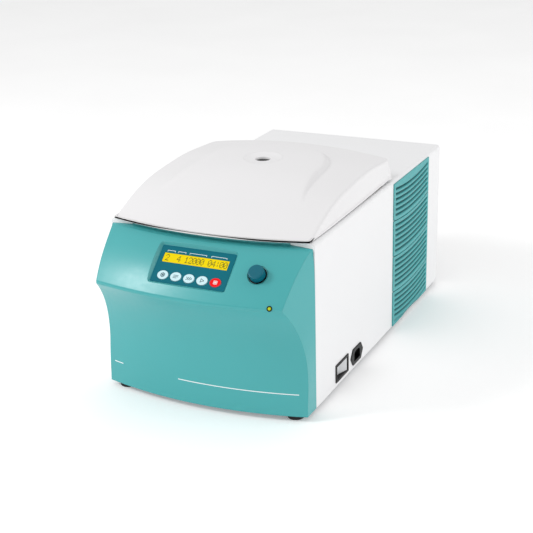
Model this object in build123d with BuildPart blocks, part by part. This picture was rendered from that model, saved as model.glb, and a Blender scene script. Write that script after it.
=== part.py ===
from build123d import *
import os
from math import atan2, cos, degrees, radians, sin, sqrt, tan

os.makedirs("parts", exist_ok=True)

# Origin: bottom centre of the whole instrument. +Z up, the front faces -Y, +X is its right side
# with the mains switch. All sizes in millimetres.

# Overall size
overall_width = 330.0
overall_depth = 650.0
overall_height = 320.0
lid_rise = 61.0  # from the deck to the highest point of the lid
foot_height = 8.0
louvre_proud = 1.5
gap = 0.3  # between rigid pieces that are assembled loosely

front_y = -overall_depth / 2
rear_y = overall_depth / 2
deck_z = overall_height - lid_rise

# Sheet metal housing
sheet = 2.0
side_front_y = front_y + 93.0
housing_edge_radius = 6.0
deck_flange = 10.0
base_sheet = 2.0
screw_diameter = 4.0
screw_length = 8.0
screw_head = 1.5
screw_head_diameter = 7.5

housing_x = overall_width / 2 - louvre_proud
inner_x = housing_x - sheet
rear_inner_y = rear_y - sheet - screw_head
inner_top_z = deck_z - sheet
base_top_z = foot_height + base_sheet

# Front moulding: a curved profile turned about a vertical axis far behind the front
front_plan_radius = 624.0
front_axis_y = front_y + front_plan_radius
front_bottom_y = front_y + 38.5
front_waist_y = front_y + 42.2
front_waist_z = 68.0
lip_z = deck_z - 73.0
lip_height = 4.0
lip_radius = 4.0
brow_y = front_y + 67.5
brow_z = deck_z - 8.0
control_radius = 230.0
rim_y = front_y + 78.0
rim_z = deck_z - 5.5
moulding_wall = 3.0
flank_taper = 11.0
flank_taper_low_z = 55.0
flank_taper_full_z = lip_z - 36.0
brow_taper = 8.0
flank_draw = 4.0  # how far the joint line leans in from the lip to the deck

# Keypad, display and keys on the tilted control face
keypad_x = 1.5
keypad_y = front_y + 39.0
keypad_z = deck_z - 38.0
keypad_tilt = 41.0
keypad_floor = 4.0
keypad_width = 117.5
keypad_height = 59.5
foil_thickness = 0.6
pocket_margin = 1.0
pocket_flare = 35.0
display_width = 102.7
display_height = 14.6
display_offset = 10.4
key_width = 18.2
key_height = 15.2
key_pitch = 20.8
key_row_offset = -17.9
key_travel = 0.5
key_gap = 0.25
key_names = ["key_cool", "key_program", "key_force", "key_start", "key_stop"]

# Setting knob
knob_offset_x = 99.5
knob_offset_y = 2.9
knob_diameter = 23.0
knob_height = 11.0
knob_ring_diameter = 26.0
knob_ring_height = 1.4
knob_shaft_diameter = 6.0
knob_seat_depth = 0.8
knob_boss_depth = 7.0
knob_boss_diameter = 34.0
encoder_size = 16.0
encoder_depth = 8.0
bush_diameter = 9.0
running_gap = 0.05

# Lid
lid_front_radius = front_axis_y - brow_y
lid_half_width = housing_x - 3.0
lid_rear_y = front_y + 420.0
lid_gap_z = 3.0
lid_tilt = 0.8  # the lower edge of the shell rises towards the hinge
lid_tilt_y = front_y + 235.0
lid_side_lean = 4.5
lid_rear_lean = 14.0
lid_wall = 3.0
lid_crown_radius = 1000.0
lid_rim_height = 2.5
lid_root = 30.0
lid_shoulder_radius = 4.0
lid_corner_radius = 9.0
plateau_radius = 103.0
plateau_slope = 40.0
plateau_edge_radius = 12.0
liner_thickness = 1.5
dish_diameter = 58.0
dish_depth = 5.0
window_diameter = 23.0
port_wall = 3.0
window_thickness = 3.0
window_ledge = 1.5

# Lid hinge and lock
hinge_y = lid_rear_y + 17.0
hinge_z = deck_z + 11.0
hinge_x = 88.0
hinge_pin_diameter = 6.0
hinge_barrel_diameter = 13.0
hinge_barrel_length = 20.0
hinge_ear = 6.0
hinge_side_gap = 0.4
striker_y = front_y + 113.0
striker_width = 26.0
striker_depth = 5.0
striker_reach = 30.0
bolt_z = deck_z - 17.0
bolt_width = 12.0
bolt_height = 8.0
bolt_clearance = 1.0
lock_gap = 3.0
lock_depth = 24.0
lock_width = 36.0
lock_drop = 12.0
lock_wall = 2.0
arm_plate = 4.0
arm_low = 2.0
arm_bend = 12.0
arm_high = 20.0
bracket_length = 26.0
bracket_sheet = 2.5

# Chamber, rotor and drive
rotor_y = front_y + 276.0
chamber_radius = 104.0
chamber_floor_z = deck_z - 95.0
bowl_sheet = 1.5
bowl_flange = 14.0
bowl_corner = 12.0
bowl_hole_radius = 14.0
gasket_width = 8.0
insulation_thickness = 16.0
rotor_radius = 88.0
rotor_base_z = chamber_floor_z + 8.0
rotor_top_z = rotor_base_z + 50.0
rotor_rim = 7.0
rotor_hub_radius = 22.0
dish_floor_radius = 40.0
bore_count = 24
bore_diameter = 11.2
bore_angle = 45.0
bore_circle_radius = 57.0
bore_depth = 26.0
rotor_cover_thickness = 3.0
stud_diameter = 10.0
nut_diameter = 34.0
nut_height = 13.0
nut_grips = 8
shaft_end_gap = 4.0
shaft_diameter = 14.0
motor_diameter = 112.0
motor_height = chamber_floor_z - 68.0
motor_fins = 12
motor_boss_radius = 12.0
motor_boss_height = 20.0
motor_plate_radius = 80.0
motor_plate_z = 34.0
motor_plate_thickness = 4.0
mount_diameter = 22.0
mount_circle_radius = 66.0

# Louvres
louvre_front_y = rear_y - 238.0
louvre_width = 175.0
louvre_bottom_z = foot_height + 0.5
louvre_top_z = deck_z - 5.0
louvre_sag = 7.5
louvre_edge = 2.0
louvre_modules = 4
louvre_ribs = 7
louvre_border = 6.0
louvre_groove = 4.4
louvre_groove_depth = 2.2
louvre_slot = 1.8
louvre_depth = 6.0
louvre_seam = 0.8
louvre_flange = 4.0

# Mains switch and inlet on the right side
switch_y = front_y + 190.5
switch_z = 29.0
switch_width = 50.0
switch_height = 29.0
switch_border = 4.0
switch_bezel = 1.4
rocker_gap = 0.5
rocker_pivot_depth = 11.0
rocker_skirt = 5.0
rocker_keel = 4.0
rocker_pin_diameter = 3.0
switch_depth = 22.0
rocker_swing = 18.0
inlet_y = switch_y + 60.0
inlet_z = 27.5
inlet_width = 50.0
inlet_height = 27.0
socket_width = 24.0
socket_height = 16.0
socket_depth = 18.0
inlet_pin_length = 12.0

# Cooling unit
compressor_x = -62.0
compressor_y = rear_y - 87.0
compressor_radius = 58.0
compressor_dome = 24.0
condenser_outer_x = inner_x - 5.5
condenser_width = 150.0
condenser_height = inner_top_z - base_top_z - 47.0
condenser_thickness = 24.0
compressor_height = condenser_height - 60.0
fin_count = 12
fin_slot = 5.0
shroud_depth = 5.0
shroud_collar = 12.0
shroud_wall = 2.5
fan_z = base_top_z + condenser_height - 78.0
fan_radius = 66.0
fan_hub_radius = 20.0
fan_blades = 5
fan_tip_gap = 2.0
fan_hub_depth = 14.0
blade_chord = 26.0
blade_thickness = 2.0
blade_pitch = 28.0
fan_shaft_diameter = 6.0
fan_motor_radius = 24.0
fan_motor_length = 34.0
fan_motor_gap = 3.0
fan_motor_foot = 4.0
pipe_diameter = 8.0
pipe_top_z = deck_z - 27.0
pipe_bend = 18.0
power_board_x = 37.5 - inner_x
power_board_y = front_y + 235.0
power_board_width = 60.0
power_board_length = 130.0

# Rear panel
vent_z = 62.0
vent_pitch = 12.0
vent_count = 15
vent_length = 60.0
vent_slot = 3.6

# Small parts
foot_diameter = 26.0
front_foot_x = housing_x - 23.5
front_foot_y = front_y + 73.0
rear_foot_y = rear_y - 40.0
led_diameter = 5.0
led_x = housing_x - 33.5
led_y = front_y + 14.0
led_z = deck_z - 70.4
led_tilt = 30.0

# Rotor and chamber axis, front axis
FRONT_AXIS = Axis((0, front_axis_y, 0), (0, 0, 1))
ROTOR_AXIS = Axis((0, rotor_y, 0), (0, 0, 1))


def write(part, name):
    """Label a finished piece and write it to its own file."""
    part.label = name
    export_step(part, f"parts/{name}.step")


# Front moulding

half_front = degrees(atan2(housing_x, front_axis_y - side_front_y)) + 2
front_plane = Plane(
    origin=(0, front_axis_y, 0),
    x_dir=(-sin(radians(half_front)), -cos(radians(half_front)), 0),
    z_dir=(-cos(radians(half_front)), sin(radians(half_front)), 0),
)


def front_form(inset):
    """The turned front profile, set in by the wall for its inside."""

    def reach(y):
        return front_axis_y - y

    lip_low = (front_plan_radius, lip_z - lip_height / 2)
    lip_high = (front_plan_radius, lip_z + lip_height / 2)
    with BuildPart() as form:
        with BuildSketch(front_plane):
            with BuildLine():
                back = reach(side_front_y) - 60
                foot = Line((back, foot_height), (reach(front_bottom_y), foot_height))
                shin = Line(foot @ 1, (reach(front_waist_y), front_waist_z))
                TangentArc(shin @ 1, lip_low, tangent=shin % 1)
                Line(lip_low, lip_high)
                brow = (reach(brow_y), brow_z)
                RadiusArc(lip_high, brow, -control_radius)
                ledge = Line(brow, (reach(rim_y), rim_z))
                rim = Line(ledge @ 1, (reach(rim_y), deck_z))
                top = Line(rim @ 1, (back, deck_z))
                Line(top @ 1, foot @ 0)
            lip = make_face().vertices().sort_by(Axis.X)[-2:]
            fillet(lip, lip_radius)
            if inset:
                offset(amount=-inset, kind=Kind.INTERSECTION, mode=Mode.REPLACE)
        revolve(axis=FRONT_AXIS, revolution_arc=2 * half_front)
        if inset:
            # Open underside
            with BuildSketch(Plane.XY.offset(foot_height - 1)):
                with Locations((0, front_axis_y)):
                    Circle(reach(front_bottom_y) - inset)
                    Circle(reach(side_front_y) - 60, mode=Mode.SUBTRACT)
                with Locations((0, front_bottom_y)):
                    Rectangle(2 * housing_x, 120, mode=Mode.INTERSECT)
            extrude(amount=4 * inset)
    return form.part


def flank_taper_at(z):
    """Plan angle of the tapered flank: none at the bottom, full by the lip, more at the brow."""
    share = min(1, max(0, (z - flank_taper_low_z) / (flank_taper_full_z - flank_taper_low_z)))
    brow_share = max(0, (z - lip_z) / (deck_z - lip_z))
    return flank_taper * share * share * (3 - 2 * share) + brow_taper * brow_share**2


def flank_form(inset):
    """The space between the two flanks, lofted through level outlines."""
    joint = side_front_y
    reach = joint - front_bottom_y + 60
    levels = [foot_height - 6, 30, flank_taper_low_z, 100, flank_taper_full_z, 210, deck_z + 6]
    with BuildPart() as form:
        for z in levels:
            half = housing_x - inset - flank_draw * max(0, (z - lip_z) / (deck_z - lip_z)) ** 2
            tip = half - reach * tan(radians(flank_taper_at(z)))
            with BuildSketch(Plane.XY.offset(z)):
                with BuildLine():
                    Polyline(
                        (-half, joint),
                        (-tip, joint - reach),
                        (tip, joint - reach),
                        (half, joint),
                        close=True,
                    )
                make_face()
        loft()
    return form.part


tilt = radians(keypad_tilt)
keypad_plane = Plane(
    origin=(keypad_x, keypad_y, keypad_z), x_dir=(1, 0, 0), z_dir=(0, -sin(tilt), cos(tilt))
)
key_places = [((i - 2) * key_pitch, key_row_offset) for i in range(len(key_names))]
knob_place = (knob_offset_x, knob_offset_y)
led_turn = atan2(led_x, front_axis_y - led_y)
led_plane = Plane(
    origin=(led_x, led_y, led_z),
    x_dir=(cos(led_turn), sin(led_turn), 0),
    z_dir=(
        sin(led_turn) * cos(radians(led_tilt)),
        -cos(led_turn) * cos(radians(led_tilt)),
        sin(radians(led_tilt)),
    ),
)

with BuildPart() as front_cavity:
    add(front_form(moulding_wall))
    add(flank_form(moulding_wall), mode=Mode.INTERSECT)
    # Floors that stay behind the keypad and the knob
    with BuildSketch(keypad_plane.offset(-keypad_floor)):
        Rectangle(keypad_width + 14, keypad_height + 14)
    extrude(amount=40, mode=Mode.SUBTRACT)
    with BuildSketch(keypad_plane.offset(-knob_boss_depth)):
        with Locations(knob_place):
            Circle(knob_boss_diameter / 2)
    extrude(amount=40, mode=Mode.SUBTRACT)

with BuildPart() as front_panel:
    add(front_form(0))
    add(flank_form(0), mode=Mode.INTERSECT)
    add(front_cavity.part, mode=Mode.SUBTRACT)
    with BuildSketch(keypad_plane.offset(-knob_boss_depth)):
        with Locations(knob_place):
            Circle(knob_ring_diameter / 2 + 1.5)
    extrude(amount=knob_boss_depth - knob_seat_depth)
    with BuildSketch(keypad_plane.offset(-knob_seat_depth)):
        with Locations(knob_place):
            Circle(knob_ring_diameter / 2 + 1.5)
    extrude(amount=20, mode=Mode.SUBTRACT)
    with BuildSketch(keypad_plane):
        RectangleRounded(keypad_width + 2 * pocket_margin, keypad_height + 2 * pocket_margin, 3)
    extrude(amount=14, taper=-pocket_flare, mode=Mode.SUBTRACT)
    with BuildSketch(keypad_plane):
        with Locations(*key_places):
            Ellipse(key_width / 2 + key_gap, key_height / 2 + key_gap)
        with Locations((0, display_offset)):
            Rectangle(display_width + 2 * key_gap, display_height + 2 * key_gap)
        with Locations(knob_place):
            Circle(bush_diameter / 2 + key_gap)
    extrude(amount=-2 * knob_boss_depth, mode=Mode.SUBTRACT)
    with BuildSketch(led_plane):
        Circle(led_diameter / 2 + key_gap)
    extrude(amount=2 * moulding_wall, both=True, mode=Mode.SUBTRACT)
write(front_panel.part, "front_panel")

with BuildPart() as keypad_foil:
    with BuildSketch(keypad_plane):
        RectangleRounded(keypad_width, keypad_height, 2)
        with Locations(*key_places):
            Ellipse(key_width / 2 + key_gap, key_height / 2 + key_gap, mode=Mode.SUBTRACT)
        with Locations((0, display_offset)):
            Rectangle(
                display_width + 2 * key_gap, display_height + 2 * key_gap, mode=Mode.SUBTRACT
            )
    extrude(amount=foil_thickness)
write(keypad_foil.part, "keypad_foil")

key_low = -keypad_floor + key_travel + 0.1
key_high = foil_thickness + 0.4

with BuildPart() as display_window:
    with BuildSketch(keypad_plane.offset(-keypad_floor)):
        with Locations((0, display_offset)):
            Rectangle(display_width, display_height)
    extrude(amount=keypad_floor + foil_thickness / 2)
write(display_window.part, "display_window")

for name, place in zip(key_names, key_places):
    with BuildPart() as key:
        with BuildSketch(keypad_plane.offset(key_low)):
            with Locations(place):
                Ellipse(key_width / 2, key_height / 2)
        extrude(amount=key_high - key_low)
    write(key.part, name)

with BuildPart() as control_board:
    with BuildSketch(keypad_plane.offset(-keypad_floor)):
        Rectangle(keypad_width + 6, keypad_height + 4)
    extrude(amount=-1.6)
write(control_board.part, "control_board")

shaft_low = -knob_boss_depth - encoder_depth + 1
with BuildPart() as encoder:
    with BuildSketch(keypad_plane.offset(-knob_boss_depth)):
        with Locations(knob_place):
            Rectangle(encoder_size, encoder_size)
    extrude(amount=-encoder_depth)
    with BuildSketch(keypad_plane.offset(-knob_boss_depth)):
        with Locations(knob_place):
            Circle(bush_diameter / 2)
    extrude(amount=knob_boss_depth)
    with BuildSketch(keypad_plane.offset(shaft_low - 0.2)):
        with Locations(knob_place):
            Circle(knob_shaft_diameter / 2 + running_gap)
    extrude(amount=40, mode=Mode.SUBTRACT)
write(encoder.part, "encoder")

with BuildPart() as knob_ring:
    with BuildSketch(keypad_plane.offset(-knob_seat_depth)):
        with Locations(knob_place):
            Circle(knob_ring_diameter / 2)
            Circle(bush_diameter / 2 + key_gap, mode=Mode.SUBTRACT)
    extrude(amount=knob_ring_height)
write(knob_ring.part, "knob_ring")

knob_low = knob_ring_height - knob_seat_depth + gap
with BuildPart() as knob:
    with BuildSketch(keypad_plane.offset(knob_low)):
        with Locations(knob_place):
            Circle(knob_diameter / 2)
    extrude(amount=knob_height, taper=2)
    fillet(faces().sort_by(Axis(keypad_plane.origin, keypad_plane.z_dir))[-1].edges(), 2)
    with BuildSketch(keypad_plane):
        with Locations(knob_place):
            Circle(knob_shaft_diameter / 2)
    extrude(amount=knob_height - 3, mode=Mode.SUBTRACT)
write(knob.part, "knob")

with BuildPart() as knob_shaft:
    with BuildSketch(keypad_plane.offset(shaft_low)):
        with Locations(knob_place):
            Circle(knob_shaft_diameter / 2)
    extrude(amount=knob_height - 3 - shaft_low)
write(knob_shaft.part, "knob_shaft")

with BuildPart() as status_led:
    with BuildSketch(led_plane.offset(-5)):
        Circle(led_diameter / 2)
    extrude(amount=6)
    fillet(faces().sort_by(Axis(led_plane.origin, led_plane.z_dir))[-1].edges(), 1.5)
write(status_led.part, "status_led")

# Base, feet and housing

with BuildPart() as base_plate:
    with BuildSketch(Plane.XY.offset(foot_height)):
        with Locations((0, front_axis_y)):
            Circle(front_axis_y - front_bottom_y - moulding_wall - gap)
        with Locations((0, side_front_y)):
            Rectangle(2 * (housing_x - moulding_wall - gap), 200, mode=Mode.INTERSECT)
        with Locations((0, side_front_y - 60)):
            Rectangle(2 * housing_x, 120, mode=Mode.INTERSECT)
        with Locations((0, (side_front_y + rear_y) / 2)):
            Rectangle(2 * (inner_x - gap), rear_y - side_front_y)
    extrude(amount=base_sheet)
write(base_plate.part, "base_plate")

feet_places = [
    (x, y) for x in (-front_foot_x, front_foot_x) for y in (front_foot_y, rear_foot_y)
]
with BuildPart() as feet:
    with BuildSketch():
        with Locations(*feet_places):
            Circle(foot_diameter / 2 - 1)
    extrude(amount=foot_height, taper=-6)
write(feet.part, "feet")

louvre_y = louvre_front_y + louvre_width / 2
louvre_window_width = louvre_width - 2 * louvre_flange
louvre_window_top = louvre_top_z - louvre_flange
louvre_window_low = louvre_bottom_z + louvre_flange

with BuildPart() as housing_shell:
    with BuildSketch(Plane.XZ.offset(-side_front_y)):
        with Locations((0, (foot_height + deck_z) / 2)):
            Rectangle(2 * housing_x, deck_z - foot_height)
        fillet(vertices().group_by(Axis.Y)[-1], housing_edge_radius)
        with Locations((0, (foot_height + inner_top_z) / 2)):
            Rectangle(2 * inner_x, inner_top_z - foot_height, mode=Mode.SUBTRACT)
    extrude(amount=-(rear_y - side_front_y))
    # Front edge of the deck, folded down behind the front moulding
    with BuildSketch(Plane.XZ.offset(-side_front_y)):
        with Locations((0, inner_top_z - deck_flange / 2)):
            Rectangle(2 * inner_x, deck_flange)
    extrude(amount=-sheet)
    # Round hole of the chamber and slot of the lid's striker
    with BuildSketch(Plane.XY.offset(deck_z)):
        with Locations((0, rotor_y)):
            Circle(chamber_radius + bowl_sheet + gap)
        with Locations((0, striker_y)):
            Rectangle(striker_width + 6, striker_depth + 7)
    extrude(amount=-sheet, mode=Mode.SUBTRACT)
    # Windows behind the louvres, on both sides
    with BuildSketch(Plane.YZ.offset(-housing_x)):
        with Locations((louvre_y, (louvre_window_top + louvre_window_low) / 2)):
            Rectangle(louvre_window_width, louvre_window_top - louvre_window_low)
    extrude(amount=2 * housing_x, mode=Mode.SUBTRACT)
    # Cut-outs of the switch and the inlet in the right side
    with BuildSketch(Plane.YZ.offset(inner_x)):
        with Locations((switch_y, switch_z)):
            Rectangle(switch_width - 2, switch_height - 2)
        with Locations((inlet_y, inlet_z)):
            Rectangle(socket_width + 6, socket_height + 6)
    extrude(amount=sheet, mode=Mode.SUBTRACT)
write(housing_shell.part, "housing_shell")

screw_places = [
    (x, z) for x in (-inner_x + 14, 0, inner_x - 14) for z in (base_top_z + 14, inner_top_z - 14)
]
with BuildPart() as rear_panel:
    with BuildSketch(Plane.XZ.offset(-rear_inner_y)):
        with Locations((0, (base_top_z + inner_top_z) / 2)):
            Rectangle(2 * (inner_x - gap), inner_top_z - base_top_z - 2 * gap)
    extrude(amount=-sheet)
    # Air slots low down, screw holes
    with BuildSketch(Plane.XZ.offset(-rear_inner_y)):
        with Locations((0, vent_z)):
            with GridLocations(vent_pitch, 0, vent_count, 1):
                SlotOverall(vent_length, vent_slot, rotation=90)
        with Locations(*screw_places):
            Circle(screw_diameter / 2 + running_gap)
    extrude(amount=-sheet, mode=Mode.SUBTRACT)
write(rear_panel.part, "rear_panel")

with BuildPart() as rear_screws:
    with BuildSketch(Plane.XZ.offset(-rear_inner_y - sheet)):
        with Locations(*screw_places):
            Circle(screw_head_diameter / 2)
    extrude(amount=-screw_head)
    with BuildSketch(Plane.XZ.offset(-rear_inner_y - sheet)):
        with Locations(*screw_places):
            Circle(screw_diameter / 2)
    extrude(amount=screw_length)
write(rear_screws.part, "rear_screws")

# Louvre modules: ribs that sag in the middle, two straight outer edges and arched seams between

sag_radius = (louvre_width**2 / 4 + louvre_sag**2) / (2 * louvre_sag)
module_height = (louvre_top_z - louvre_bottom_z) / louvre_modules
rib_pitch = module_height / louvre_ribs


def seam_z(index):
    """Height of a seam at the two ends: 0 is the straight top edge."""
    return louvre_top_z - index * module_height


def sagged_band(high, low):
    """A band between two sagging arcs whose ends lie at the given heights."""
    centre_high = high + sag_radius - louvre_sag
    centre_low = low + sag_radius - louvre_sag
    with BuildSketch() as band:
        with Locations((louvre_y, centre_low)):
            Circle(sag_radius)
        with Locations((louvre_y, centre_high)):
            Circle(sag_radius, mode=Mode.SUBTRACT)
        with Locations((louvre_y, low)):
            Rectangle(louvre_width, 6 * louvre_sag + 2 * (high - low), mode=Mode.INTERSECT)
    return band.sketch


def louvre(side, index):
    """One louvre module on the right (side 1) or left (side -1) wall."""
    outer = Plane.YZ.offset(side * (housing_x + louvre_proud))
    high = seam_z(index) - louvre_seam / 2 if index else louvre_top_z + 4 * louvre_sag
    low = seam_z(index + 1) + louvre_seam / 2
    if index == louvre_modules - 1:
        low = louvre_bottom_z - 4 * louvre_sag
    with BuildPart() as module:
        with BuildSketch(outer):
            add(sagged_band(high, low))
            with Locations((louvre_y, (louvre_top_z + louvre_bottom_z) / 2)):
                Rectangle(louvre_width, louvre_top_z - louvre_bottom_z, mode=Mode.INTERSECT)
        extrude(amount=-side * louvre_proud)
        with BuildSketch(outer):
            add(sagged_band(high, low))
            with Locations((louvre_y, (louvre_window_top + louvre_window_low) / 2)):
                Rectangle(
                    louvre_window_width - 2 * gap,
                    louvre_window_top - louvre_window_low - 2 * gap,
                    mode=Mode.INTERSECT,
                )
        extrude(amount=-side * louvre_depth)
        # Shallow grooves, each with a narrow air slot along its middle
        for width, border, depth in (
            (louvre_groove, louvre_border, louvre_groove_depth),
            (louvre_slot, louvre_border + 4, louvre_depth),
        ):
            with BuildSketch(outer):
                for rib in range(1, louvre_ribs):
                    z = seam_z(index) - rib * rib_pitch
                    add(sagged_band(z + width / 2, z - width / 2))
                with Locations((louvre_y, (louvre_top_z + louvre_bottom_z) / 2)):
                    Rectangle(
                        louvre_width - 2 * border,
                        louvre_top_z - louvre_bottom_z - 2 * louvre_edge,
                        mode=Mode.INTERSECT,
                    )
            extrude(amount=-side * depth, mode=Mode.SUBTRACT)
    return module.part


for index in range(louvre_modules):
    write(louvre(1, index), f"louvre_right_{index + 1}")
    write(louvre(-1, index), f"louvre_left_{index + 1}")

# Mains switch and inlet

switch_plane = Plane(origin=(housing_x, switch_y, switch_z), x_dir=(0, 1, 0), z_dir=(1, 0, 0))
inlet_plane = Plane(origin=(housing_x, inlet_y, inlet_z), x_dir=(0, 1, 0), z_dir=(1, 0, 0))
cavity_width = switch_width - 2 * switch_border
cavity_height = switch_height - 2 * switch_border
rocker_height = cavity_height - 2 * rocker_gap
rocker_half = cavity_width / 2 - 4 * rocker_gap
rocker_slope = tan(radians(rocker_swing / 2))
rocker_end = rocker_pivot_depth + switch_bezel - rocker_half * rocker_slope
rocker_valley = rocker_end - rocker_half * rocker_slope

with BuildPart() as switch_frame:
    with BuildSketch(switch_plane):
        RectangleRounded(switch_width, switch_height, 1.5)
    extrude(amount=switch_bezel)
    with BuildSketch(switch_plane):
        Rectangle(switch_width - 2 - 2 * gap, switch_height - 2 - 2 * gap)
    extrude(amount=-switch_depth)
    with BuildSketch(switch_plane.offset(switch_bezel)):
        Rectangle(cavity_width, cavity_height)
    extrude(amount=-switch_bezel - switch_depth + 2, mode=Mode.SUBTRACT)
    with BuildSketch(Plane.XY.offset(switch_z - cavity_height / 2 - 2)):
        with Locations((housing_x - rocker_pivot_depth, switch_y)):
            Circle(rocker_pin_diameter / 2 + running_gap)
    extrude(amount=cavity_height + 4, mode=Mode.SUBTRACT)
write(switch_frame.part, "switch_frame")

rocker_plane = Plane(
    origin=(housing_x - rocker_pivot_depth, switch_y, switch_z - rocker_height / 2),
    x_dir=(sin(radians(rocker_swing / 2)), cos(radians(rocker_swing / 2)), 0),
    z_dir=(0, 0, -1),
)
with BuildPart() as rocker:
    with BuildSketch(rocker_plane):
        with BuildLine():
            Polyline(
                (-rocker_half, rocker_end),
                (0, rocker_valley),
                (rocker_half, rocker_end),
                (rocker_half, rocker_end - rocker_skirt),
                (rocker_keel, -rocker_keel),
                (-rocker_keel, -rocker_keel),
                (-rocker_half, rocker_end - rocker_skirt),
                close=True,
            )
        make_face()
    extrude(amount=-rocker_height)
    with BuildSketch(Plane.XY.offset(switch_z - rocker_height / 2 - 1.5)):
        with Locations((housing_x - rocker_pivot_depth, switch_y)):
            Circle(rocker_pin_diameter / 2)
    extrude(amount=rocker_height + 3)
write(rocker.part, "rocker")

with BuildPart() as mains_inlet:
    with BuildSketch(inlet_plane):
        with BuildLine():
            shoulder = socket_width / 2 + 4
            Polyline(
                (-inlet_width / 2, 0),
                (-shoulder, inlet_height / 2),
                (shoulder, inlet_height / 2),
                (inlet_width / 2, 0),
                (shoulder, -inlet_height / 2),
                (-shoulder, -inlet_height / 2),
                close=True,
            )
        make_face()
        fillet(vertices(), 2)
    extrude(amount=louvre_proud)
    with BuildSketch(inlet_plane):
        Rectangle(socket_width + 6 - 2 * gap, socket_height + 6 - 2 * gap)
    extrude(amount=-socket_depth - 2)
    with BuildSketch(inlet_plane.offset(louvre_proud)):
        Rectangle(socket_width, socket_height)
        chamfer(vertices().group_by(Axis.Y)[-1], 4)
    extrude(amount=-louvre_proud - socket_depth, mode=Mode.SUBTRACT)
write(mains_inlet.part, "mains_inlet")

with BuildPart() as inlet_pins:
    with BuildSketch(inlet_plane.offset(-socket_depth)):
        with Locations((-7, -2), (7, -2), (0, 2.5)):
            Rectangle(2, 4)
    extrude(amount=inlet_pin_length)
write(inlet_pins.part, "inlet_pins")

# Lid

lid_low_z = deck_z + lid_gap_z
lid_edge_plane = Plane(
    origin=(0, 0, lid_low_z - lid_tilt_y * tan(radians(lid_tilt))),
    x_dir=(1, 0, 0),
    z_dir=(0, -sin(radians(lid_tilt)), cos(radians(lid_tilt))),
)


def lid_outline(inset):
    """Plan of the lid: arched front edge, straight sides and rounded rear corners."""
    with BuildSketch() as outline:
        with Locations((0, front_axis_y)):
            Circle(lid_front_radius - inset)
        with Locations((0, lid_rear_y - inset - 200)):
            Rectangle(2 * (lid_half_width - inset), 400, mode=Mode.INTERSECT)
        fillet(outline.vertices().group_by(Axis.Y)[-1], lid_corner_radius - inset / 2)
    return outline.sketch


def domed(roof_points, inset):
    """Everything below a roof that arches along Y and is slightly crowned across X."""
    turn = radians(12.5)
    centre_z = overall_height - lid_crown_radius
    low = lid_low_z - lid_root - 10 - centre_z
    line = [(y, z - inset - centre_z) for y, z in roof_points]
    plane = Plane(origin=(0, 0, centre_z), x_dir=(0, 1, 0), z_dir=(cos(turn), 0, sin(turn)))
    with BuildPart() as dome:
        with BuildSketch(plane):
            with BuildLine():
                Spline(line)
                Polyline(line[-1], (line[-1][0], low), (line[0][0], low), line[0])
            make_face()
        revolve(axis=Axis((0, 0, centre_z), (0, 1, 0)), revolution_arc=degrees(2 * turn))
    return dome.part


# Roof lines along the middle of the lid, seen from the right: steep front, knee and flat rear
lid_roof = [
    (brow_y - 18, lid_low_z - 7),
    (brow_y + 62, overall_height - 32),
    (brow_y + 101, overall_height - 19.5),
    (brow_y + 140, overall_height - 12.2),
    (brow_y + 198, overall_height - 7.5),
    (lid_rear_y - 100, overall_height - 6),
    (lid_rear_y + 15, overall_height - 12.6),
]
plateau_roof = [
    (brow_y - 18, lid_low_z - 27),
    (brow_y + 85, overall_height - 25.5),
    (brow_y + 125, overall_height - 10.9),
    (brow_y + 168, overall_height - 3.4),
    (rotor_y + 37, overall_height),
    (rotor_y + 124, overall_height - 4.2),
]


def lid_form(inset):
    """The closed body of the lid, set in by the wall for its inside. It is made deeper, then cut level."""
    lean = tan(radians(lid_side_lean))
    rear_lean = tan(radians(lid_rear_lean))
    root_z = lid_low_z - lid_root
    tall = overall_height - root_z + 10
    half = lid_half_width - inset + lid_root * lean
    rear = lid_rear_y - inset + lid_root * rear_lean
    with BuildPart() as base:
        with BuildSketch(Plane.XZ.offset(-rear)):
            with BuildLine():
                Polyline(
                    (-half, root_z),
                    (half, root_z),
                    (half - tall * lean, root_z + tall),
                    (-half + tall * lean, root_z + tall),
                    close=True,
                )
            make_face()
        extrude(amount=overall_depth)
        with BuildSketch(Plane.YZ.offset(-half)):
            with BuildLine():
                Polyline(
                    (front_y, root_z),
                    (rear, root_z),
                    (rear - tall * rear_lean, root_z + tall),
                    (front_y, root_z + tall),
                    close=True,
                )
            make_face()
        extrude(amount=2 * half, mode=Mode.INTERSECT)
        with BuildSketch(Plane.XY.offset(root_z)):
            with Locations((0, front_axis_y)):
                Circle(lid_front_radius - inset)
        extrude(amount=tall, mode=Mode.INTERSECT)
        rear_corners = base.edges().filter_by(Axis.X, reverse=True).group_by(Axis.Y)[-1]
        fillet(rear_corners, lid_corner_radius - inset)
        add(domed(lid_roof, inset), mode=Mode.INTERSECT)
        roof = base.faces().filter_by(GeomType.PLANE, reverse=True).sort_by(SortBy.AREA)[-1]
        fillet(roof.edges(), lid_shoulder_radius - inset)
    with BuildPart() as plateau:
        with BuildSketch(Plane.XY.offset(overall_height + 10)):
            radius = plateau_radius - inset - 10 * tan(radians(plateau_slope))
            with Locations((0, rotor_y)):
                Circle(radius)
            with Locations((0, rotor_y - 160)):
                Rectangle(2 * radius, 320)
        extrude(amount=-tall, taper=-plateau_slope)
        with BuildSketch(Plane.XY.offset(root_z)):
            add(lid_outline(inset))
        extrude(amount=tall, mode=Mode.INTERSECT)
        add(domed(plateau_roof, inset), mode=Mode.INTERSECT)
        roof = plateau.faces().filter_by(GeomType.PLANE, reverse=True).sort_by(SortBy.AREA)[-1]
        fillet(roof.edges(), plateau_edge_radius - inset)
    with BuildPart() as form:
        add(base.part)
        add(plateau.part)
    return form.part


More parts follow.
